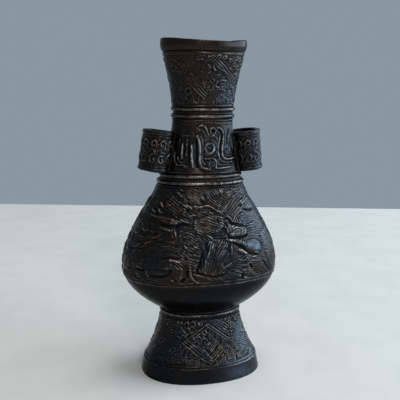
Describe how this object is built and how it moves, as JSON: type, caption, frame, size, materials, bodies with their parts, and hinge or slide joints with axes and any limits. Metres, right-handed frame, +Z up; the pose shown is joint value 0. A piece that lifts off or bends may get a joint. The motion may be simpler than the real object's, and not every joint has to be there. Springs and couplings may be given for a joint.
{
  "type": "arrow vase",
  "caption": "Cast bronze arrow vase of oval section with spread foot, swelling body, trumpet mouth and open tubular ears brazed to the neck.",
  "frame": {"origin": "middle of the foot's underside, on the surface that the vase stands on", "axes": "+Z up through the mouth, X through the two ears, -Y towards the front that the picture shows"},
  "size_m": [0.07, 0.0486, 0.149],
  "materials": {
    "castings": "dark brown-black patina, satin, worn brighter on raised ornament",
    "ears": "dark brown-black patina, satin, worn brighter on raised ornament",
    "base_plate": "dark brown patina, dull",
    "braze": "dull orange-brown, oxidised",
    "solder": "dull dark grey-brown"
  },
  "bodies": {
    "root": {"foot_section": "castings", "body_shell": "castings", "neck_section": "castings", "mouth_section": "castings", "base_plate": "base_plate", "base_plate_solder": "solder", "waist_braze_ring": "braze", "shoulder_braze_ring": "braze", "neck_braze_ring": "braze", "left_ear": "ears", "left_ear_front_seam": "braze", "left_ear_back_seam": "braze", "right_ear": "ears", "right_ear_front_seam": "braze", "right_ear_back_seam": "braze"}
  },
  "joints": []
}
